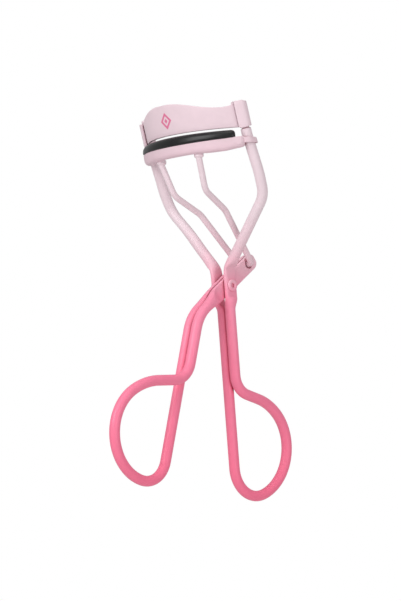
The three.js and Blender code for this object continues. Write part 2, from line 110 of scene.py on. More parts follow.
# The left plate stands further out than the right one, and so does the bend above its arm.
LEFT_OUT = dict(by=0.4, bottom=-6.4, fade=9.0, top=18.0, elbow=0.55, elbow_z=21.8, elbow_reach=8.5)
BLADE = dict(
    inner=0.35, outer=1.3, width=4.15, offset=0.15, angle=34.0, tail=-4.6, tip=12.9,
    edge=0.3, lean=0.0, lean_edge=0.0, past=5.72, before_tail=0.8,
)
BLADE_END = dict(corner=2.0, power=2.4, stop=0.995, rim=0.22, blunt=0.25)
HOOK_HOLE = dict(r=1.28, flare=0.12, reach=3.0, sides=48)

# A finger loop is a chain of arcs with these radii. Each goes on to a turn, in degrees from the strand.
# Between the shares of its length called cross, the wire moves over to the other strand.
FRAME_LOOP = dict(
    start=22.97, bend=5.14, turn=73.8, ease=15.62, ease_to=45.7, sweep=12.12, sweep_to=30.6,
    under=12.7, under_to=72, heel=7.22, cross=(0.13, 0.9),
)
LEVER_LOOP = dict(
    start=23.91, bend=6.25, turn=70.1, ease=18.13, ease_to=41.2, sweep=12.08, sweep_to=35.1,
    under=12.43, under_to=93.4, heel=7.18, cross=(0.15, 0.83),
)
LEVER_LEAN = 19.3
LEVER_LINE = 8.3
LEVER_FILLET = 11.0

BAR_SAG = 9.2
POST_ARC_R = (POST_X**2 + BAR_SAG**2) / (2 * BAR_SAG)
POST_ARC = math.asin(POST_X / POST_ARC_R)
# Places along the bars, such as end, hump_arc and left_fall, are in degrees from the middle.
SHEET = dict(
    front=21.1, thick=0.66, base=38.5, dip=5.35, hump=2.35, hump_arc=42, left_fall=(9, 45),
    flare=0.35, end=51.5, soft=0.2, softest=0.8, rim=0.2, blunt=0.3,
)
SLEEVE = dict(
    r=1.68, top=45.0, left_drop=0.8, jog=45, flap=22, flap_gap=0.16, corner=0.5,
    turned=0.75, flap_run=1.2, merge=0.5, tilt=0.7, tilt_rise=(1, 4), tilt_fade=(6, 8.5),
)
CHANNEL = dict(
    r=20.7, half=1.6, base=33.5, tall=2.7, wall=0.5, floor=0.7, end=54.6, trough=49.4,
    draft=0.25, bowl=1.45, bowl_share=0.95, rim=0.2, corner=0.25,
)
BELLY = dict(drop=0.1, more=0.3, more_arc=(16, 34), lift=0.4, rise=0.1, lift_arc=(40, 53))
BAR_END = dict(
    run=1.3, blunt=0.05, close=0.4, narrow=1.2, swell=0.3, swell_arc=(46, 51),
    fill=(-0.4, 0.2), dish=0.25, least_dish=0.2,
)
JAW_DIP = 0.065  # how far the lower bar sinks for each mm that it stands in front of the posts
EYELET = dict(
    wall=0.4, play=0.1, slot=0.42, shift=-0.1, base=34.4, tall=1.4, rim=0.17, steep=3, sides=96,
    cut_past=2,
)
PAD = dict(
    stem=1.02, half=1.85, base=34.28, lip=36.26, side=0.35, top=37.95, end=48.4,
    under=0.93, under_rise=0.12, across_power=0.8, up_power=0.85,
)
PAD_END = dict(run=1.2, power=2.6, half=0.5, stem=0.7, crown=0.4)  # the last three are shares left over
LEG = dict(
    top=(6.8, -12.55, 33.35), straight_to=31.7, knee=(5.6, -9.95, 23.8), knee_fillet=4.0,
    shin=(4.5, -2.2, 19.1), shin_fillet=5.0, hook_x=2.25, hook_fillet=0.95, tip_x=0.15,
)
COLLAR = dict(swell=0.42, low=(-1.25, -0.75), high=(0.02, 0.1), reach=5)
RIVET = dict(
    head=1.53, head_tall=0.5, well=0.52, dome=0.7, shank=0.97, gap=0.06, curl=0.96,
    well_bottom=0.01, well_corner=0.1, well_lip=0.3, middle=0.02, undercut=0.005,
    dome_power=0.8, rim_power=0.7,
)


# ---------------------------------------------------------------- lines in space

STRAIGHT = 1e-4  # radians: a smaller turn gets no arc
ARC_STEP = rad(2)
LOOP_STEP = rad(1.5)


def unit(vector):
    return vector / np.linalg.norm(vector)


def smoothstep(value, low, high):
    share = np.clip((value - low) / (high - low), 0, 1)
    return share * share * (3 - 2 * share)


def soft_min(a, b, blend):
    """The lower of two values, rounded off where they meet."""
    share = np.clip(0.5 + 0.5 * (b - a) / blend, 0, 1)
    return b * (1 - share) + a * share - blend * share * (1 - share)


def soft_max(a, b, blend):
    return -soft_min(-a, -b, blend)


def bent_line(corners):
    """Straight runs joined by arcs. A corner is (point, fillet radius), and both ends are sharp."""
    points = [np.array(corners[0][0], float)]
    for (before, _), (at, fillet), (after, _) in zip(corners, corners[1:], corners[2:]):
        at = np.array(at, float)
        back = unit(np.array(before, float) - at)
        onward = unit(np.array(after, float) - at)
        turn = math.pi - math.acos(np.clip(back @ onward, -1, 1))
        if fillet == 0 or turn < STRAIGHT:
            points.append(at)
            continue
        centre = at + unit(back + onward) * fillet / math.cos(turn / 2)
        reach = fillet * math.tan(turn / 2)
        first = at + back * reach - centre
        last = at + onward * reach - centre
        for share in np.linspace(0, 1, max(3, int(turn / ARC_STEP))):
            spoke = first * math.sin((1 - share) * turn) + last * math.sin(share * turn)
            points.append(centre + spoke / math.sin(turn))
    points.append(np.array(corners[-1][0], float))
    return np.array(points)


def lengths(points):
    steps = np.linalg.norm(np.diff(points, axis=0), axis=1)
    return np.concatenate([[0], np.cumsum(steps)])


def at_lengths(points, wanted):
    marks = lengths(points)
    return np.stack([np.interp(wanted, marks, points[:, k]) for k in range(points.shape[1])], 1)


def eased(points, step=0.25, reach=0.8):
    """The same line at an even pace, with the change from straight to arc spread over a short reach."""
    total = lengths(points)[-1]
    line = at_lengths(points, np.linspace(0, total, int(total / step)))
    half = int(reach / step)
    kernel = np.hanning(2 * half + 3)[1:-1]
    kernel /= kernel.sum()
    padded = np.concatenate([
        2 * line[0] - line[half:0:-1],
        line,
        2 * line[-1] - line[-2:-half - 2:-1],
    ])
    smooth = [np.convolve(padded[:, k], kernel, "valid") for k in range(line.shape[1])]
    return np.stack(smooth, 1)


def stations(total, step, dense=(), run=1.5, fine=0.06):
    """Places along a line: every step, and closer together within a run of each dense place."""
    places = [np.linspace(0, total, int(total / step))]
    for middle in dense:
        places.append(np.arange(middle - run, middle + run, fine))
    merged = np.unique(np.clip(np.concatenate(places), 0, total))
    keep = np.concatenate([[True], np.diff(merged) > fine / 2])
    return merged[keep]


def finger_loop(loop):
    """A finger loop in its plane: x out from the strand and y down it."""
    turn, ease_to = rad(loop["turn"]), rad(loop["ease_to"])
    sweep_to, under_to = rad(loop["sweep_to"]), rad(loop["under_to"])
    out = loop["bend"] * (1 - math.cos(turn))
    out += loop["ease"] * (math.cos(ease_to) - math.cos(turn))
    out += loop["sweep"] * (math.cos(sweep_to) - math.cos(ease_to))
    back = loop["under"] * (math.cos(sweep_to) - math.cos(under_to))
    back += loop["heel"] * (1 + math.cos(under_to))
    straight = (back - out) / math.sin(turn)
    points = [np.array([0.0, loop["start"]])]
    heading = 0.0

    def arc(radius, angle):
        nonlocal heading
        pieces = max(2, math.ceil(abs(angle) / LOOP_STEP))
        chord = 2 * radius * math.sin(abs(angle) / pieces / 2)
        for _ in range(pieces):
            heading += angle / pieces / 2
            points.append(points[-1] + chord * np.array([math.sin(heading), math.cos(heading)]))
            heading += angle / pieces / 2

    def run(length):
        points.append(points[-1] + length * np.array([math.sin(heading), math.cos(heading)]))

    arc(loop["bend"], turn)
    run(straight)
    arc(loop["ease"], ease_to - turn)
    arc(loop["sweep"], -ease_to - sweep_to)
    arc(loop["under"], sweep_to - under_to)
    arc(loop["heel"], under_to - math.pi)
    return np.array(points)


def loop_in_space(loop, down, out, base):
    """The loop placed in space, crossing from the +X strand to the -X strand on its way."""
    flat = finger_loop(loop)
    share = lengths(flat) / lengths(flat)[-1]
    points = base + flat[:, 1:] * down + flat[:, :1] * out
    points[:, 0] = STRAND_X * (1 - 2 * smoothstep(share, *loop["cross"]))
    return points


# ---------------------------------------------------------------- meshes

def placed(name, data):
    """A new object in the scene."""
    made = bpy.data.objects.new(name, data)
    bpy.context.scene.collection.objects.link(made)
    return made


def mesh_object(name, vertices, faces):
    """A new mesh object, from vertices in millimetres."""
    mesh = bpy.data.meshes.new(name)
    mesh.from_pydata((np.asarray(vertices) * MM).tolist(), [], faces)
    return placed(name, mesh)


def new_piece(name, vertices, faces, body, node, slot):
    """A smooth-shaded mesh object that rides on a body and stands for a CAD node."""
    piece = mesh_object(name, vertices, faces)
    piece.data.validate()
    piece.data.update()
    piece.data.shade_smooth()
    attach(piece, body)
    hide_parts(node)
    return piece


def tube(rings, closed=False):
    """Vertices and faces of a tube through rings of points; an open tube gets a fan at each end."""
    count, sides = rings.shape[:2]
    vertices = rings.reshape(-1, 3)
    faces = []
    for i in range(count if closed else count - 1):
        a, b = i * sides, ((i + 1) % count) * sides
        for k in range(sides):
            n = (k + 1) % sides
            faces.append((a + k, a + n, b + n, b + k))
    if closed:
        return vertices, faces
    ends = np.array([rings[0].mean(0), rings[-1].mean(0)])
    first, last = len(vertices), len(vertices) + 1
    for k in range(sides):
        n = (k + 1) % sides
        faces.append((first, n, k))
        faces.append((last, (count - 1) * sides + k, (count - 1) * sides + n))
    return np.concatenate([vertices, ends]), faces


def tangents(points):
    ahead = np.gradient(points, axis=0)
    return ahead / np.linalg.norm(ahead, axis=1, keepdims=True)


def side_axes(points, reference):
    """Two axes across the line at each point, the first as near to the reference as can be."""
    ahead = tangents(points)
    first = reference - (ahead @ reference)[:, None] * ahead
    first /= np.linalg.norm(first, axis=1, keepdims=True)
    return first, np.cross(ahead, first)


def rolled_axes(points, start):
    """Two axes across the line that never twist, for a line that turns towards any reference."""
    ahead = tangents(points)
    first = [unit(start - (start @ ahead[0]) * ahead[0])]
    for direction in ahead[1:]:
        first.append(unit(first[-1] - (first[-1] @ direction) * direction))
    first = np.array(first)
    return first, np.cross(ahead, first)


def round_rings(points, radii, axes, sides):
    turn = np.linspace(0, 2 * math.pi, sides, endpoint=False)
    first, second = axes
    ring = np.cos(turn)[None, :, None] * first[:, None] + np.sin(turn)[None, :, None] * second[:, None]
    return points[:, None] + radii[:, None, None] * ring


def end_round(marks, radius, blunt=0.02):
    """How much a rod narrows near both of its ends, as a share of its radius."""
    from_end = np.minimum(marks, marks[-1] - marks)
    into = np.clip(1 - from_end / radius, 0, 1)
    return np.maximum(np.sqrt(1 - into**2), blunt)


def press_flat(rings, plate, along, across, offset, wire_x, pressed, end_width=None):
    """Presses a wire between two planes of constant X, with softened edges round the flats."""
    x = np.abs(rings[..., 0])
    side = np.sign(rings[..., 0])
    far = rings @ along
    amount = pressed(far)
    fading = 1 - amount
    wide = rings @ across - offset
    spread = 1 + amount * (plate["width"] / (2 * WIRE_R) - 1)
    if end_width is not None:
        spread = spread * end_width(far)
    moved = rings + (wide * (spread - 1))[..., None] * across
    shift = (plate["inner"] + plate["outer"]) / 2 - wire_x
    high = plate["outer"] + fading * (2 * WIRE_R + plate["lean"])
    flat = soft_min(x + amount * shift, high, plate["edge"] + fading * plate["lean_edge"])
    flat = soft_max(flat, amount * plate["inner"], plate["edge"])
    moved[..., 0] = side * np.where(amount > 0, flat, x)
    return moved


def combine(piece, operation, vertices, faces):
    """Joins a closed shape to a piece, or takes it out of the piece."""
    other = mesh_object("other", vertices, faces)
    modifier = piece.modifiers.new("combine", "BOOLEAN")
    modifier.operation = operation
    modifier.solver = "EXACT"
    modifier.object = other
    bake(piece)
    bpy.data.objects.remove(other)


def bake(piece):
    """Turns a piece's modifiers into plain mesh."""
    bpy.context.view_layer.update()
    graph = bpy.context.evaluated_depsgraph_get()
    baked = bpy.data.meshes.new_from_object(piece.evaluated_get(graph))
    piece.modifiers.clear()
    piece.data = baked


def creased(piece, angle):
    """The piece, with smooth shading that breaks at edges sharper than the angle."""
    piece.data.shade_smooth()
    piece.data.set_sharp_from_angle(angle=rad(angle))
    return piece


def lathe_x(profile, sides=72):
    """A profile of (radius, x) turned about the X axis."""
    turn = np.linspace(0, 2 * math.pi, sides, endpoint=False)
    rings = [
        np.stack([np.full(sides, x), radius * np.cos(turn), radius * np.sin(turn)], 1)
        for radius, x in profile
    ]
    return np.array(rings)


# ---------------------------------------------------------------- frame wire

def post_y(z):
    neck_y = SLIDE[0] - SLIDE_SLOPE * (NECK_Z - SLIDE[1])
    above = neck_y - NECK_SLOPE * (z - NECK_Z)
    below = SLIDE[0] - SLIDE_SLOPE * (z - SLIDE[1])
    return above if z > NECK_Z else below


def post_point(side, z):
    return (side * POST_X, post_y(z), z)


def frame_half(side):
    """Corners of one half of the frame wire, from the post's top to where its loop starts."""
    plate_x = (PLATE["inner"] + PLATE["outer"]) / 2
    return [
        (post_point(side, POST_TOP_Z), 0),
        (post_point(side, NECK_Z), 0),
        (post_point(side, POST_BOTTOM["z"]), POST_BOTTOM["fillet"]),
        ((side * ARM_BEND["x"], 0, ARM_BEND["z"]), ARM_BEND["fillet"]),
        ((side * plate_x, 0, PLATE_BEND["z"]), PLATE_BEND["fillet"]),
        ((side * plate_x, 0, PLATE["bottom"]), PLATE["fillet"]),
        ((side * STRAND_X, 0, PLATE["bottom"] - PLATE["to_strand"]), PLATE["fillet"]),
        ((side * STRAND_X, 0, -FRAME_LOOP["start"]), 0),
    ]


def post_radius(z):
    """The rod's radius at a height: it is turned down above the shoulder, to enter the bar."""
    turned_down = smoothstep(z, SHOULDER["z"], SHOULDER["z"] + SHOULDER["run"])
    return WIRE_R + (TENON["r"] - WIRE_R) * turned_down


def plate_pressed(z):
    """How much the frame wire is pressed at a height."""
    top, bottom, past = PLATE["top"], PLATE["bottom"], PLATE["past"]
    below_arm = 1 - smoothstep(z, top - PLATE["before_top"], top + past)
    return below_arm * smoothstep(z, bottom - past, bottom + PLATE["before_bottom"])


def frame_wire():
    down, out = np.array([0, 0, -1.0]), np.array([0, 1.0, 0])
    loop = loop_in_space(FRAME_LOOP, down, out, np.zeros(3))
    line = eased(np.concatenate([bent_line(frame_half(1)), loop[1:-1], bent_line(frame_half(-1))[::-1]]))
    total = lengths(line)[-1]
    shoulder = POST_TOP_Z - SHOULDER["z"]
    marks = stations(total, WIRE_STEP, dense=(0, shoulder, total - shoulder, total), run=0.6)
    points = at_lengths(line, marks)
    radii = post_radius(points[:, 2]) * end_round(marks, TENON["rim"], TENON["blunt"])
    rings = round_rings(points, radii, side_axes(points, np.array([1.0, 0, 0])), WIRE_SIDES)
    plate_x = (PLATE["inner"] + PLATE["outer"]) / 2
    rings = press_flat(rings, PLATE, -down, out, 0, plate_x, plate_pressed)
    rings = left_moved_out(rings)
    return new_piece("frame_wire_painted", *tube(rings), "frame", "frame_wire", slot="frame_paint")


def left_moved_out(rings):
    """Moves the left plate out, fading to nothing up its arm and down its strand."""
    z = rings[..., 2]
    share = smoothstep(z, LEFT_OUT["bottom"], PLATE["bottom"])
    share = share * (1 - smoothstep(z, LEFT_OUT["fade"], LEFT_OUT["top"]))
    near = np.clip(1 - np.abs(z - LEFT_OUT["elbow_z"]) / LEFT_OUT["elbow_reach"], 0, 1)
    out = LEFT_OUT["by"] * share + LEFT_OUT["elbow"] * smoothstep(near, 0, 1)
    rings[..., 0] -= np.where(rings[..., 0] < 0, out, 0)
    return rings


# ---------------------------------------------------------------- lever wire

BLADE_ALONG = np.array([0, math.cos(rad(BLADE["angle"])), math.sin(rad(BLADE["angle"]))])
BLADE_ACROSS = np.array([0, -BLADE_ALONG[2], BLADE_ALONG[1]])


def on_blade(along, x):
    at = BLADE_ALONG * along + BLADE_ACROSS * BLADE["offset"]
    return (x, at[1], at[2])


def lever_half(side, down, base):
    """Corners of one half of the lever wire, from the blade's end to where its loop starts."""
    start = np.array(on_blade(0, 0))
    gap = base - start
    across_gap = gap[1] * down[2] - gap[2] * down[1]
    reach = across_gap / (BLADE_ALONG[1] * down[2] - BLADE_ALONG[2] * down[1])
    elbow = start + BLADE_ALONG * reach
    last = base + down * LEVER_LOOP["start"]
    return [
        (on_blade(BLADE["tip"], side * STRAND_X), 0),
        ((side * STRAND_X, elbow[1], elbow[2]), LEVER_FILLET),
        ((side * STRAND_X, last[1], last[2]), 0),
    ]


def blade_pressed(along):
    """How much the lever wire is pressed at a place along the blade's line."""
    return smoothstep(along, BLADE["tail"] - BLADE["past"], BLADE["tail"] + BLADE["before_tail"])


def blade_end_width(along):
    """The blade's end is rounded off at both corners."""
    power = BLADE_END["power"]
    into = np.clip(1 - (BLADE["tip"] - along) / BLADE_END["corner"], 0, BLADE_END["stop"])
    return (1 - into**power) ** (1 / power)


def lever_wire():
    lean = rad(LEVER_LEAN)
    down = np.array([0, -math.sin(lean), -math.cos(lean)])
    out = np.array([0, -math.cos(lean), math.sin(lean)])
    base = out * LEVER_LINE
    loop = loop_in_space(LEVER_LOOP, down, out, base)
    first = bent_line(lever_half(1, down, base))
    last = bent_line(lever_half(-1, down, base))[::-1]
    line = eased(np.concatenate([first, loop[1:-1], last]))
    total = lengths(line)[-1]
    tail = BLADE["tip"] - BLADE["tail"]
    marks = stations(total, WIRE_STEP, dense=(0, tail, total - tail, total), run=2.6, fine=0.1)
    points = at_lengths(line, marks)
    radii = np.full(len(marks), WIRE_R)
    rings = round_rings(points, radii, side_axes(points, np.array([1.0, 0, 0])), WIRE_SIDES)
    rings = press_flat(
        rings, BLADE, BLADE_ALONG, BLADE_ACROSS, BLADE["offset"], STRAND_X,
        blade_pressed, blade_end_width,
    )
    rings = thin_ends(rings, marks)
    piece = new_piece("lever_wire_painted", *tube(rings), "lever", "lever_wire", slot="lever_paint")
    combine(piece, "DIFFERENCE", *hook_hole_cutter())
    return creased(piece, angle=40)


def thin_ends(rings, marks):
    """Rounds off the plate's thickness at the two blade ends."""
    middle_x = (BLADE["inner"] + BLADE["outer"]) / 2
    share = end_round(marks, BLADE_END["rim"], BLADE_END["blunt"])[:, None]
    side = np.sign(rings[..., 0])
    thinner = middle_x + (np.abs(rings[..., 0]) - middle_x) * share
    near_end = np.minimum(marks, marks[-1] - marks)[:, None] < BLADE_END["rim"]
    rings[..., 0] = np.where(near_end, side * thinner, rings[..., 0])
    return rings


def hook_hole_cutter():
    """A pin across both blades, flared at each blade face so that the holes get soft rims."""
    r, flare, reach = HOOK_HOLE["r"], HOOK_HOLE["flare"], HOOK_HOLE["reach"]
    profile = []
    for side in (-1, 1):
        faces = sorted((side * BLADE["inner"], side * BLADE["outer"]))
        for face, outward in zip(faces, (-1, 1)):
            steps = [(r + 2 * flare, face + outward * flare), (r, face - outward * flare)]
            profile += steps if outward < 0 else steps[::-1]
    rings = lathe_x([(r, -reach)] + profile + [(r, reach)], HOOK_HOLE["sides"])
    rings[..., 1] += HOOK[1]
    rings[..., 2] += HOOK[2]
    return tube(rings)


# ---------------------------------------------------------------- sheet-metal sections

CORNER_STEPS = 5


def rounded_outline(corners, steps=CORNER_STEPS):
    """A closed outline with each corner rounded. A corner is (x, y, radius)."""
    outline = []
    count = len(corners)
    for i, (x, y, radius) in enumerate(corners):
        at = np.array([x, y], float)
        before = np.array(corners[i - 1][:2], float)
        after = np.array(corners[(i + 1) % count][:2], float)
        back, onward = unit(before - at), unit(after - at)
        for share in np.linspace(0, 1, steps):
            first = at + back * radius * (1 - share)
            last = at + onward * radius * share
            outline.append(first * (1 - share) + last * share)
    return np.array(outline)


def divided(outline, longest):
    """The same closed outline with long sides split up."""
    result = []
    for start, end in zip(outline, np.roll(outline, -1, axis=0)):
        pieces = max(1, math.ceil(np.linalg.norm(end - start) / longest))
        for k in range(pieces):
            result.append(start + (end - start) * k / pieces)
    return np.array(result)


def bar_centre_y(z):
    return post_y(z) + POST_ARC_R * math.cos(POST_ARC)


def jaw_dip(y):
    return JAW_DIP * (y - SLIDE[0])


def bar_point(radius, angle, centre_y):
    return np.array([radius * math.sin(angle), centre_y - radius * math.cos(angle)])


# ---------------------------------------------------------------- upper bar

def sheet_end(side, centre_y):
    """Plan of the sheet's rolled end: a jog behind the post, a turn round it, and a flap in front."""
    middle = SHEET["front"] - SHEET["thick"] / 2
    ring = SLEEVE["r"] - SHEET["thick"] / 2
    jog, flap = rad(SLEEVE["jog"]), rad(SLEEVE["flap"])
    rise = middle - POST_ARC_R
    jog_run = (rise + ring * math.cos(jog)) / math.sin(jog)
    jog_start = (-ring * math.sin(jog) - jog_run * math.cos(jog), rise)
    flap_end = rise + SHEET["thick"] + SLEEVE["flap_gap"]
    flap_run = (ring * math.cos(flap) - flap_end) / math.sin(flap)
    turn = np.linspace(-math.pi / 2 - jog, math.pi / 2 + flap, num=60)
    local = [jog_start] + [(ring * math.cos(a), ring * math.sin(a)) for a in turn]
    local.append((-ring * math.sin(flap) - flap_run * math.cos(flap), flap_end))
    post = bar_point(POST_ARC_R, POST_ARC, centre_y)
    onward = np.array([math.cos(POST_ARC), math.sin(POST_ARC)])
    outward = np.array([math.sin(POST_ARC), -math.cos(POST_ARC)])
    plan = np.array([post + along * onward + out * outward for along, out in local])
    return plan * [side, 1]


def sheet_plan(centre_y):
    middle = SHEET["front"] - SHEET["thick"] / 2
    right = sheet_end(1, centre_y)
    reach = math.atan2(right[0][0], centre_y - right[0][1])
    arc = [bar_point(middle, a, centre_y) for a in np.linspace(-reach, reach, num=240)[1:-1]]
    return np.concatenate([sheet_end(-1, centre_y)[::-1], arc, right])


def sheet_top(plan, centre_y):
    """Height of the sheet's top edge along its plan: a hump, two dips, and square sleeves."""
    angle = np.degrees(np.arctan2(np.abs(plan[:, 0]), centre_y - plan[:, 1]))
    on_hump = angle < SHEET["hump_arc"]
    hump = np.where(on_hump, 0.5 + 0.5 * np.cos(math.pi * angle / SHEET["hump_arc"]), 0)
    broad = 1 - smoothstep(angle, *SHEET["left_fall"])
    hump = np.where(plan[:, 0] < 0, broad, hump)
    flare = SHEET["flare"] * smoothstep(angle, SHEET["hump_arc"], SHEET["end"])
    return SHEET["base"] + SHEET["dip"] + SHEET["hump"] * hump + flare


def sheet_edges(line, from_end, centre_y):
    """Heights of the sheet's bottom and top edges, by how far each place is from the sheet's end."""
    rolled = 2 * math.pi * SLEEVE["turned"] * SLEEVE["r"] + SLEEVE["flap_run"]
    square = rolled - SLEEVE["merge"]
    in_sleeve = 1 - smoothstep(from_end, square, rolled)
    sleeve_top = SLEEVE["top"] - np.where(line[:, 0] < 0, SLEEVE["left_drop"], 0)
    top = sheet_top(line, centre_y)
    top = np.where(from_end < square, sleeve_top, top + (sleeve_top - top) * in_sleeve)
    tilt = SLEEVE["tilt"] * (smoothstep(from_end, *SLEEVE["tilt_rise"]) - 0.5)
    tilt = tilt * (1 - smoothstep(from_end, *SLEEVE["tilt_fade"]))
    into_corner = np.clip(1 - from_end / SLEEVE["corner"], 0, 1)
    corner = SLEEVE["corner"] * (1 - np.sqrt(1 - into_corner**2))
    return SHEET["base"] + tilt * in_sleeve + corner, top - corner


def sheet_section(low, high, narrow):
    """The sheet's upright section, as offsets across it and heights, with its long sides divided."""
    half = SHEET["thick"] / 2 * narrow
    inset = SHEET["soft"] * (1 - narrow)
    low, high = low + inset, high - inset
    soft = min(SHEET["soft"], half * SHEET["softest"])
    outline = rounded_outline([
        (half, low, soft), (half, high, soft), (-half, high, soft), (-half, low, soft),
    ])
    one, three = CORNER_STEPS, 3 * CORNER_STEPS
    return np.concatenate([
        outline[:one], spaced(outline[one - 1], outline[one]),
        outline[one:three], spaced(outline[three - 1], outline[three]),
        outline[three:],
    ])


def upper_bar():
    centre_y = bar_centre_y(SHEET["base"])
    plan = eased(sheet_plan(centre_y), step=0.08, reach=0.3)
    total = lengths(plan)[-1]
    marks = stations(total, step=0.35, dense=(0, total), run=9.0, fine=0.1)
    rim = np.linspace(0, 0.3, 8)
    marks = np.unique(np.concatenate([marks, rim, total - rim]))
    line = at_lengths(plan, marks)
    bottom, top = sheet_edges(line, np.minimum(marks, total - marks), centre_y)
    ahead = tangents(line)
    across = np.stack([ahead[:, 1], -ahead[:, 0]], 1)
    narrow = end_round(marks, SHEET["rim"], SHEET["blunt"])
    rings = []
    for i in range(len(marks)):
        outline = sheet_section(bottom[i], top[i], narrow[i])
        plan_points = line[i] + outline[:, :1] * across[i]
        lean = -NECK_SLOPE * (outline[:, 1:] - SHEET["base"])
        rings.append(np.concatenate([plan_points + [0, 1] * lean, outline[:, 1:]], 1))
    piece = new_piece("upper_bar_painted", *tube(np.array(rings)), "frame", "upper_bar", slot="bar_paint")
    return creased(piece, angle=50)


def spaced(start, end, count=8):
    """Points between two points, both left out."""
    shares = np.linspace(0, 1, count + 2)[1:-1, None]
    return start + (end - start) * shares


# ---------------------------------------------------------------- lower bar

def channel_rings():
    """The lower bar's channel: a U section along the arc, filled in past the ends of the trough."""
    end, trough = CHANNEL["end"], CHANNEL["trough"]
    centre_y = bar_centre_y(SHEET["base"])
    tight = np.linspace(0, 1, 9)[1:] ** 2
    rings = []
    for angle in np.unique(np.concatenate([np.linspace(-end, end, 221), end - tight, tight - end])):
        at = abs(angle)
        into_end = np.clip(1 - rad(end - at) * CHANNEL["r"] / BAR_END["run"], 0, 1)
        tucked = 1 - max(BAR_END["blunt"], math.sqrt(1 - into_end**2))
        near_eyelet = smoothstep(at, *BELLY["lift_arc"])
        low = CHANNEL["base"] - BELLY["drop"] - BELLY["more"] * smoothstep(at, *BELLY["more_arc"])
        low += BELLY["lift"] * near_eyelet + BAR_END["close"] * tucked
        high = CHANNEL["base"] + CHANNEL["tall"] + BELLY["rise"] * near_eyelet
        high -= BAR_END["close"] * tucked
        filled = smoothstep(at, trough + BAR_END["fill"][0], trough + BAR_END["fill"][1])
        floor = low + CHANNEL["floor"]
        floor += (high - BAR_END["dish"] - floor) * filled
        floor = min(floor, high - BAR_END["least_dish"])
        wide = CHANNEL["half"] + BAR_END["swell"] * smoothstep(at, *BAR_END["swell_arc"])
        section = channel_section(wide - BAR_END["narrow"] * tucked, low, high, floor)
        plan = np.array([bar_point(CHANNEL["r"] + a, rad(angle), centre_y) for a in section[:, 0]])
        up = section[:, 1] + jaw_dip(plan[:, 1])
        rings.append(np.concatenate([plan, up[:, None]], 1))
    return np.array(rings)


def channel_section(wide, low, high, floor):
    """The U section as one outline of a fixed number of points, bowl-shaped below."""
    inner, rim = wide - CHANNEL["wall"], CHANNEL["rim"]
    drafted = wide - min(CHANNEL["draft"], wide / 4)
    bowl = min(CHANNEL["bowl"], drafted * CHANNEL["bowl_share"])
    corner = min(CHANNEL["corner"], (high - floor) / 2)
    return rounded_outline([
        (-drafted, low, bowl), (drafted, low, bowl), (wide, high, rim), (inner, high, rim),
        (inner, floor, corner), (-inner, floor, corner), (-inner, high, rim), (-wide, high, rim),
    ], steps=7)


def slot_half_length(turn):
    """How far a slot's wall is moved along the slot, at a turn round it."""
    return EYELET["slot"] * np.clip(EYELET["steep"] * np.sin(turn), -1, 1)


def eyelet_rings(side):
    """A rounded strip bent round a slot, leaning as the post leans."""
    half, low, rim = EYELET["wall"] / 2, EYELET["base"], EYELET["rim"]
    high = low + EYELET["tall"]
    middle_r = WIRE_R + EYELET["play"] + half
    section = divided(rounded_outline([
        (half, low, rim), (half, high, rim), (-half, high, rim), (-half, low, rim),
    ]), longest=0.4)
    rings = []
    for turn in np.linspace(0, 2 * math.pi, EYELET["sides"], endpoint=False):
        outward = np.array([math.cos(turn), math.sin(turn)])
        middle = np.array([side * POST_X, SLIDE[0] + EYELET["shift"]]) + middle_r * outward
        middle[1] += slot_half_length(turn)
        plan = middle + section[:, :1] * outward
        lean = -SLIDE_SLOPE * (section[:, 1:] - SLIDE[1])
        rings.append(np.concatenate([plan + [0, 1] * lean, section[:, 1:]], 1))
    return np.array(rings)


def slot_rings(side):
    """The space inside an eyelet, as a leaning slot that reaches past the channel."""
    r = WIRE_R + EYELET["play"]
    turn = np.linspace(0, 2 * math.pi, EYELET["sides"], endpoint=False)
    low, high = CHANNEL["base"] - EYELET["cut_past"], CHANNEL["base"] + CHANNEL["tall"] + EYELET["cut_past"]
    rings = []
    for z in (low, high):
        x = side * POST_X + r * np.cos(turn)
        y = SLIDE[0] + EYELET["shift"] + r * np.sin(turn)
        y += slot_half_length(turn) - SLIDE_SLOPE * (z - SLIDE[1])
        rings.append(np.stack([x, y, np.full(len(turn), z)], 1))
    return np.array(rings)


def lower_bar():
    piece = new_piece("lower_bar_painted", *tube(channel_rings()), "jaw", "lower_bar", slot="bar_paint")
    for side in (1, -1):
        combine(piece, "DIFFERENCE", *tube(slot_rings(side)))
        combine(piece, "UNION", *tube(eyelet_rings(side), closed=True))
    return creased(piece, angle=42)


# ---------------------------------------------------------------- rubber pad

def left_over(least, fall):
    """A share that falls from one to its least as the fall goes from one to nought."""
    return least + (1 - least) * fall


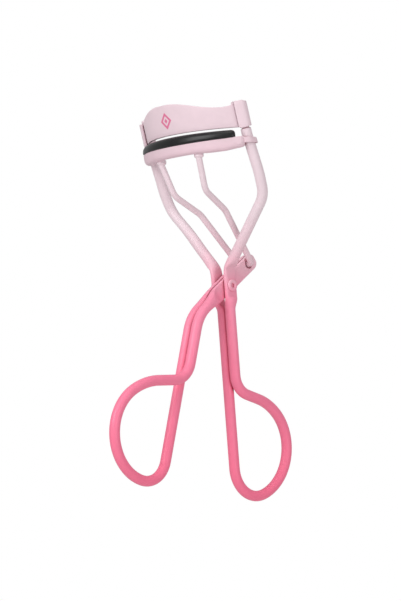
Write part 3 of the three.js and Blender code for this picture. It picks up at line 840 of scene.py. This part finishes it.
def rubber_pad():
    """A stem in the channel under a crowned head that overhangs its walls, with rounded ends."""
    centre_y = bar_centre_y(SHEET["base"])
    reach = rad(PAD["end"])
    turn = np.linspace(0, math.pi, 25)
    lip, top = PAD["lip"], PAD["top"]
    under_up = lip + PAD["under_rise"]
    rings = []
    for share in np.sin(np.linspace(-math.pi / 2, math.pi / 2, 161)):
        angle = share * reach
        into_end = np.clip(1 - (reach - abs(angle)) * CHANNEL["r"] / PAD_END["run"], 0, 1)
        fall = math.sqrt(1 - into_end ** PAD_END["power"])
        half = PAD["half"] * left_over(PAD_END["half"], fall)
        stem = PAD["stem"] * left_over(PAD_END["stem"], fall)
        crown = (top - lip - PAD["side"]) * left_over(PAD_END["crown"], fall)
        under = half * PAD["under"]
        bent = np.sign(np.cos(turn)) * np.abs(np.cos(turn)) ** PAD["across_power"]
        head_up = lip + PAD["side"] + crown * np.sin(turn) ** PAD["up_power"]
        across = np.concatenate([[stem, stem, under, half], half * bent, [-half, -under, -stem, -stem]])
        up = np.concatenate([[PAD["base"], lip, lip, under_up], head_up, [under_up, lip, lip, PAD["base"]]])
        plan = np.array([bar_point(CHANNEL["r"] + a, angle, centre_y) for a in across])
        up += jaw_dip(plan[:, 1]) * np.clip((top - up) / (top - lip), 0, 1)
        rings.append(np.concatenate([plan, up[:, None]], 1))
    piece = new_piece("rubber_pad_moulded", *tube(np.array(rings)), "jaw", "rubber_pad", slot="pad_rubber")
    return creased(piece, angle=60)


# ---------------------------------------------------------------- legs and rivet

def leg_radius(z, on_top):
    """A plain rod that swells into a collar just under the bar."""
    above = z - CHANNEL["base"] - jaw_dip(LEG["top"][1])
    swell = smoothstep(above, *COLLAR["low"]) * (1 - smoothstep(above, *COLLAR["high"]))
    return LEG_R + np.where(on_top, COLLAR["swell"] * swell, 0)


def jaw_leg(side, name):
    x, y, z = LEG["top"]
    mirror = np.array([side, 1, 1])
    corners = [
        ((side * x, y, z), 0),
        ((side * x, y, LEG["straight_to"]), 0),
        (LEG["knee"] * mirror, LEG["knee_fillet"]),
        (LEG["shin"] * mirror, LEG["shin_fillet"]),
        ((side * LEG["hook_x"], HOOK[1], HOOK[2]), LEG["hook_fillet"]),
        ((side * LEG["tip_x"], HOOK[1], HOOK[2]), 0),
    ]
    line = eased(bent_line(corners), step=0.1, reach=0.35)
    total = lengths(line)[-1]
    marks = stations(total, step=0.25, dense=(1.5, total), run=1.6, fine=0.07)
    points = at_lengths(line, marks)
    radii = leg_radius(points[:, 2], marks < COLLAR["reach"]) * end_round(marks, 0.3, blunt=0.2)
    rings = round_rings(points, radii, rolled_axes(points, np.array([1.0, 0, 0])), sides=40)
    return new_piece(name + "_painted", *tube(rings), "jaw", name, slot="leg_paint")


def pivot_rivet():
    """A hollow rivet: a low dome on one side, a rolled-over rim with an open middle on the other."""
    head, well, shank_r, bottom = RIVET["head"], RIVET["well"], RIVET["shank"], RIVET["well_bottom"]
    right = PLATE["outer"] + RIVET["gap"]
    left = -right - LEFT_OUT["by"]
    domed = [
        (head * math.sin(a), left - RIVET["dome"] * math.cos(a) ** RIVET["dome_power"])
        for a in np.linspace(0.02, 1.5, 16)
    ]
    shank = [(head, left), (shank_r, left), (shank_r, right), (head, right - RIVET["undercut"])]
    rim = [
        ((head + well) / 2 + (head - well) / 2 * math.cos(a),
         right + RIVET["head_tall"] * math.sin(a) ** RIVET["rim_power"])
        for a in np.linspace(0.0, math.pi * RIVET["curl"], 22)
    ]
    bowl = [
        (well, right - RIVET["well_lip"]), (well, RIVET["well_corner"]),
        (well * 0.9, bottom), (RIVET["middle"], bottom),
    ]
    rings = lathe_x(domed + shank + rim + bowl)
    piece = new_piece("pivot_rivet_painted", *tube(rings), "frame", "pivot_rivet", slot="rivet_paint")
    return creased(piece, angle=50)


# ---------------------------------------------------------------- materials

def srgb(red, green, blue):
    """A colour picked on an 8-bit scale, as the linear values that shaders take."""
    shares = [value / 255 for value in (red, green, blue)]
    linear = [s / 12.92 if s <= 0.04045 else ((s + 0.055) / 1.055) ** 2.4 for s in shares]
    return (*linear, 1)


class Shader:
    """A material's node tree, with short names for the nodes used here."""

    def __init__(self, name):
        self.material = bpy.data.materials.new(name)
        self.material.use_nodes = True
        self.tree = self.material.node_tree
        self.surface = self.tree.nodes["Principled BSDF"]
        self.place = self.tree.nodes.new("ShaderNodeTexCoord").outputs["Object"]

    def node(self, kind, inputs=(), **settings):
        made = self.tree.nodes.new("ShaderNode" + kind)
        for key, value in settings.items():
            setattr(made, key, value)
        for key, value in dict(inputs).items():
            self.feed(made.inputs[key], value)
        return made

    def feed(self, socket, value):
        if isinstance(value, bpy.types.NodeSocket):
            self.tree.links.new(value, socket)
        else:
            socket.default_value = value

    def noise(self, per_metre, detail=3.0, roughness=0.5):
        inputs = {"Vector": self.place, "Scale": per_metre, "Detail": detail, "Roughness": roughness}
        return self.node("TexNoise", inputs).outputs["Fac"]

    def ranged(self, value, low, high, to_low, to_high):
        inputs = {"Value": value, "From Min": low, "From Max": high, "To Min": to_low, "To Max": to_high}
        return self.node("MapRange", inputs, clamp=True).outputs["Result"]

    def spread(self, noise, low, high):
        """Stretches a noise, which mostly lies between 0.3 and 0.7, over a range."""
        return self.ranged(noise, 0.3, 0.7, low, high)

    def maths(self, operation, first, second):
        made = self.node("Math", operation=operation)
        self.feed(made.inputs[0], first)
        self.feed(made.inputs[1], second)
        return made.outputs[0]

    def ramp(self, value, stops):
        made = self.node("ValToRGB", {"Fac": value})
        ramp = made.color_ramp
        ramp.interpolation = "B_SPLINE" if len(stops) > 3 else "LINEAR"
        while len(ramp.elements) < len(stops):
            ramp.elements.new(0.5)
        for element, (position, colour) in zip(ramp.elements, stops):
            element.position = position
            element.color = colour
        return made.outputs["Color"]

    def mixed(self, share, first, second, blend="MIX"):
        made = self.node("Mix", data_type="RGBA", blend_type=blend)
        self.feed(made.inputs["Factor"], share)
        self.feed(made.inputs["A"], first)
        self.feed(made.inputs["B"], second)
        return made.outputs["Result"]

    def set(self, **inputs):
        """Sets inputs of the surface: Base_Color means the input called Base Color."""
        for name, value in inputs.items():
            self.feed(self.surface.inputs[name.replace("_", " ")], value)

    def bump(self, height, strength, distance):
        inputs = {"Height": height, "Strength": strength, "Distance": distance}
        self.set(Normal=self.node("Bump", inputs).outputs["Normal"])


PALE = srgb(237, 216, 223)
BLUSH = srgb(238, 203, 213)
ROSE = srgb(246, 172, 192)
CANDY = srgb(251, 144, 174)
LIPSTICK = srgb(252, 132, 164)
HOT = srgb(252, 114, 148)
INK = srgb(226, 118, 156)
RUBBED = (0.9, 0.86, 0.87, 1)
MARK = dict(
    x=-0.7, z=42.2, half_wide=2.0, half_tall=2.2, soft=0.06, hole=0.61, core=0.32,
    front_y=-14.0, facing=-0.5,
)


def paint(name, bottom_z, top_z, stops, shade, chips=0.3):
    """Satin paint over metal: it fades along Z, with faint mottling, orange peel, rubbed edges and painted
    shade in crevices.
    """
    shader = Shader(name)
    height = shader.node("SeparateXYZ", {"Vector": shader.place}).outputs["Z"]
    drift = shader.spread(shader.noise(120), -1.2 * MM, 1.2 * MM)
    faded = shader.ranged(shader.maths("ADD", height, drift), bottom_z * MM, top_z * MM, 0, 1)
    mottle = shader.spread(shader.noise(420, detail=5), 0.975, 1.015)
    grey = shader.node("CombineColor", {"Red": mottle, "Green": mottle, "Blue": mottle}).outputs["Color"]
    colour = shader.mixed(1.0, shader.ramp(faded, stops), grey, "MULTIPLY")
    colour = shaded_crevices(shader, rubbed_edges(shader, colour, chips), shade)
    rough = shader.spread(shader.noise(260, detail=4), 0.4, 0.5)
    shader.set(Base_Color=colour, Roughness=rough, Specular_IOR_Level=0.42)
    shader.set(Coat_Weight=0.12, Coat_Roughness=0.28)
    peel, dents = shader.noise(1700, detail=2), shader.noise(230, detail=2)
    relief = shader.maths("ADD", peel, shader.maths("MULTIPLY", dents, 2.0))
    shader.bump(relief, strength=0.07, distance=0.04 * MM)
    return shader


def rubbed_edges(shader, colour, chips):
    """Lightens the colour in speckles along outward edges."""
    pointiness = shader.node("NewGeometry").outputs["Pointiness"]
    edge = shader.ranged(pointiness, low=0.54, high=0.62, to_low=0, to_high=1)
    speckle = shader.noise(per_metre=900, detail=6, roughness=0.7)
    speckle = shader.ranged(speckle, low=0.5, high=0.62, to_low=0, to_high=chips)
    lifted = shader.mixed(0.45, colour, RUBBED)
    return shader.mixed(shader.maths("MULTIPLY", edge, speckle), colour, lifted)


def shaded_crevices(shader, colour, shade):
    """Paints shade into the colour where other surfaces stand close by: a painted shadow in crevices and
    between parts.
    """
    nearby = {"Distance": 1.1 * MM}
    open_sky = shader.node("AmbientOcclusion", nearby, samples=8).outputs["AO"]
    painted_shade = shader.ranged(open_sky, low=0.15, high=0.65, to_low=0.8, to_high=0)
    return shader.mixed(painted_shade, colour, shader.mixed(1.0, colour, shade, "MULTIPLY"))


def ombre_paint(name):
    """The handles' paint, which fades from hot pink to pale pink round the pivot."""
    stops = [(0.0, HOT), (0.45, LIPSTICK), (0.7, CANDY), (0.78, ROSE), (0.87, BLUSH), (0.97, PALE)]
    return paint(name, -52.0, 18.0, stops, (0.55, 0.15, 0.2, 1)).material


def bar_paint():
    stops = [(0.0, srgb(231, 197, 208)), (0.5, srgb(233, 205, 214)), (0.8, srgb(236, 212, 220))]
    shader = paint("bar_satin", 30.0, 42.0, stops, (0.5, 0.33, 0.38, 1))
    add_mark(shader)
    return shader.material


def add_mark(shader):
    """A plain printed lozenge in the middle of the upper bar's front: a band round a solid core."""
    split = shader.node("SeparateXYZ", {"Vector": shader.place})
    x = shader.maths("ADD", split.outputs["X"], -MARK["x"] * MM)
    z = shader.maths("ADD", split.outputs["Z"], -MARK["z"] * MM)
    wide = shader.maths("DIVIDE", shader.maths("ABSOLUTE", x, 0.0), MARK["half_wide"] * MM)
    tall = shader.maths("DIVIDE", shader.maths("ABSOLUTE", z, 0.0), MARK["half_tall"] * MM)
    far = shader.maths("ADD", wide, tall)
    normal = shader.tree.nodes["Texture Coordinate"].outputs["Normal"]
    facing = shader.node("SeparateXYZ", {"Vector": normal}).outputs["Y"]
    front = shader.maths("LESS_THAN", split.outputs["Y"], MARK["front_y"] * MM)
    front = shader.maths("MULTIPLY", shader.maths("LESS_THAN", facing, MARK["facing"]), front)
    soft, hole, core = MARK["soft"], MARK["hole"], MARK["core"]
    band = shader.maths(
        "MULTIPLY", shader.ranged(far, 1 - soft, 1, 1, 0), shader.ranged(far, hole - soft, hole, 0, 1)
    )
    printed = shader.maths("MAXIMUM", band, shader.ranged(far, core - soft, core, 1, 0))
    old = shader.surface.inputs["Base Color"].links[0].from_socket
    shader.set(Base_Color=shader.mixed(shader.maths("MULTIPLY", printed, front), old, INK))


def leg_paint():
    stops = [(0.0, BLUSH), (0.4, BLUSH), (0.8, PALE), (1.0, PALE)]
    return paint("leg_satin", -2.0, 30.0, stops, (0.55, 0.36, 0.42, 1)).material


def rivet_paint():
    stops = [(0.0, CANDY), (0.5, ROSE), (1.0, BLUSH)]
    return paint("rivet_satin", -3.0, 3.0, stops, (0.5, 0.2, 0.26, 1), chips=0.9).material


def pad_rubber():
    """Smooth black rubber with a soft sheen, faint flow lines and a little dust."""
    shader = Shader("pad_black_rubber")
    mottle = shader.noise(350, detail=5)
    dust = shader.ranged(shader.noise(2600, detail=4, roughness=0.7), 0.66, 0.74, 0, 0.5)
    deep, black, dusty = (0.004, 0.004, 0.005, 1), (0.010, 0.010, 0.010, 1), (0.035, 0.035, 0.036, 1)
    colour = shader.mixed(dust, shader.mixed(mottle, deep, black), dusty)
    rough = shader.spread(mottle, 0.26, 0.38)
    shader.set(Base_Color=colour, Roughness=rough, Specular_IOR_Level=0.34)
    shader.set(Coat_Weight=0.1, Coat_Roughness=0.2)
    grain = shader.maths("ADD", shader.noise(1400, detail=3), shader.maths("MULTIPLY", mottle, 2.0))
    shader.bump(grain, strength=0.12, distance=0.05 * MM)
    return shader.material


def wear(piece, material):
    piece.data.materials.clear()
    piece.data.materials.append(material)


# ---------------------------------------------------------------- studio

SENSOR = 36.0
# What the picture shows at the pivot's distance: its height, and how far right of and above its middle
# the pivot stands.
VIEW = dict(azimuth=45.0, elevation=-5.1, roll=4.3, distance=1000.0, tall=153.708, right=6.153, above=3.535)
# Directions are along the camera's own axes. Distances and sizes are in metres, and powers in watts.
LIGHTS = dict(
    key=dict(right=-0.75, up=0.6, back=0.75, distance=0.9, size=0.55, power=4.0),
    fill=dict(right=0.5, up=0.1, back=0.8, distance=1.1, size=0.6, power=2.4),
    top=dict(right=0.0, up=1.0, back=0.25, distance=0.9, size=0.5, power=1.2),
)
FLOOR = dict(half=3000.0, drop=240.0, glow=0.4)
ROOM_LIGHT = 0.45


def camera():
    """A long lens a little below the object, rolled so that the posts lean."""
    a, e, r = rad(VIEW["azimuth"]), rad(VIEW["elevation"]), rad(VIEW["roll"])
    back = np.array([math.sin(a) * math.cos(e), -math.cos(a) * math.cos(e), math.sin(e)])
    level = np.array([math.cos(a), math.sin(a), 0])
    up = np.cross(back, level)
    right = math.cos(r) * level - math.sin(r) * up
    up = math.sin(r) * level + math.cos(r) * up
    place = PIVOT + back * VIEW["distance"] - right * VIEW["right"] - up * VIEW["above"]
    data = bpy.data.cameras.new("camera")
    data.sensor_width = SENSOR
    data.lens = SENSOR * VIEW["distance"] / VIEW["tall"]
    data.clip_end = 50
    made = placed("camera", data)
    turned = Matrix([right, up, back]).transposed().to_4x4()
    made.matrix_world = Matrix.Translation(Vector(place * MM)) @ turned
    bpy.context.scene.camera = made
    return right, up, back


def soft_light(name, direction, distance, size, power):
    """A square softbox that faces the object from a direction."""
    data = bpy.data.lights.new(name, "AREA")
    data.size = size
    data.energy = power
    made = placed(name, data)
    towards = Vector(unit(direction))
    made.location = towards * distance
    made.rotation_mode = "QUATERNION"
    made.rotation_quaternion = towards.to_track_quat("Z", "Y")


def floor():
    """A wide pale floor well below the object."""
    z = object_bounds()[0][2] / MM - FLOOR["drop"]
    half = FLOOR["half"]
    corners = [(-half, -half, z), (half, -half, z), (half, half, z), (-half, half, z)]
    made = mesh_object("floor", corners, [(0, 1, 2, 3)])
    shader = Shader("pale_floor")
    tint = shader.mixed(shader.noise(3), (0.86, 0.86, 0.86, 1), (0.9, 0.9, 0.9, 1))
    seen = shader.node("LightPath").outputs["Is Camera Ray"]
    glow = shader.maths("MULTIPLY", seen, FLOOR["glow"])
    shader.set(Base_Color=tint, Roughness=0.8, Emission_Color=(1, 1, 1, 1), Emission_Strength=glow)
    wear(made, shader.material)
    made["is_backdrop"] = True


def surroundings():
    """A white backdrop for the camera, and a dimmer grey room for light and reflections."""
    world = bpy.data.worlds.new("studio")
    world.use_nodes = True
    bpy.context.scene.world = world
    nodes, links = world.node_tree.nodes, world.node_tree.links
    room = nodes["Background"]
    room.inputs["Color"].default_value = (1, 1, 1, 1)
    room.inputs["Strength"].default_value = ROOM_LIGHT
    backdrop = nodes.new("ShaderNodeBackground")
    backdrop.inputs["Color"].default_value = (1, 1, 1, 1)
    backdrop.inputs["Strength"].default_value = 1.0
    mix = nodes.new("ShaderNodeMixShader")
    links.new(nodes.new("ShaderNodeLightPath").outputs["Is Camera Ray"], mix.inputs["Fac"])
    links.new(room.outputs[0], mix.inputs[1])
    links.new(backdrop.outputs[0], mix.inputs[2])
    links.new(mix.outputs[0], nodes["World Output"].inputs["Surface"])


def studio():
    right, up, back = camera()
    for name, light in LIGHTS.items():
        direction = right * light["right"] + up * light["up"] + back * light["back"]
        soft_light(name, direction, light["distance"], light["size"], light["power"])
    floor()
    surroundings()
    bpy.context.scene.view_settings.view_transform = "Standard"


# ---------------------------------------------------------------- assembly

ombre = ombre_paint("ombre_satin")
wear(frame_wire(), ombre)
wear(lever_wire(), ombre)
bars = bar_paint()
wear(upper_bar(), bars)
wear(lower_bar(), bars)
wear(rubber_pad(), pad_rubber())
legs = leg_paint()
wear(jaw_leg(1, "jaw_leg_right"), legs)
wear(jaw_leg(-1, "jaw_leg_left"), legs)
wear(pivot_rivet(), rivet_paint())
studio()
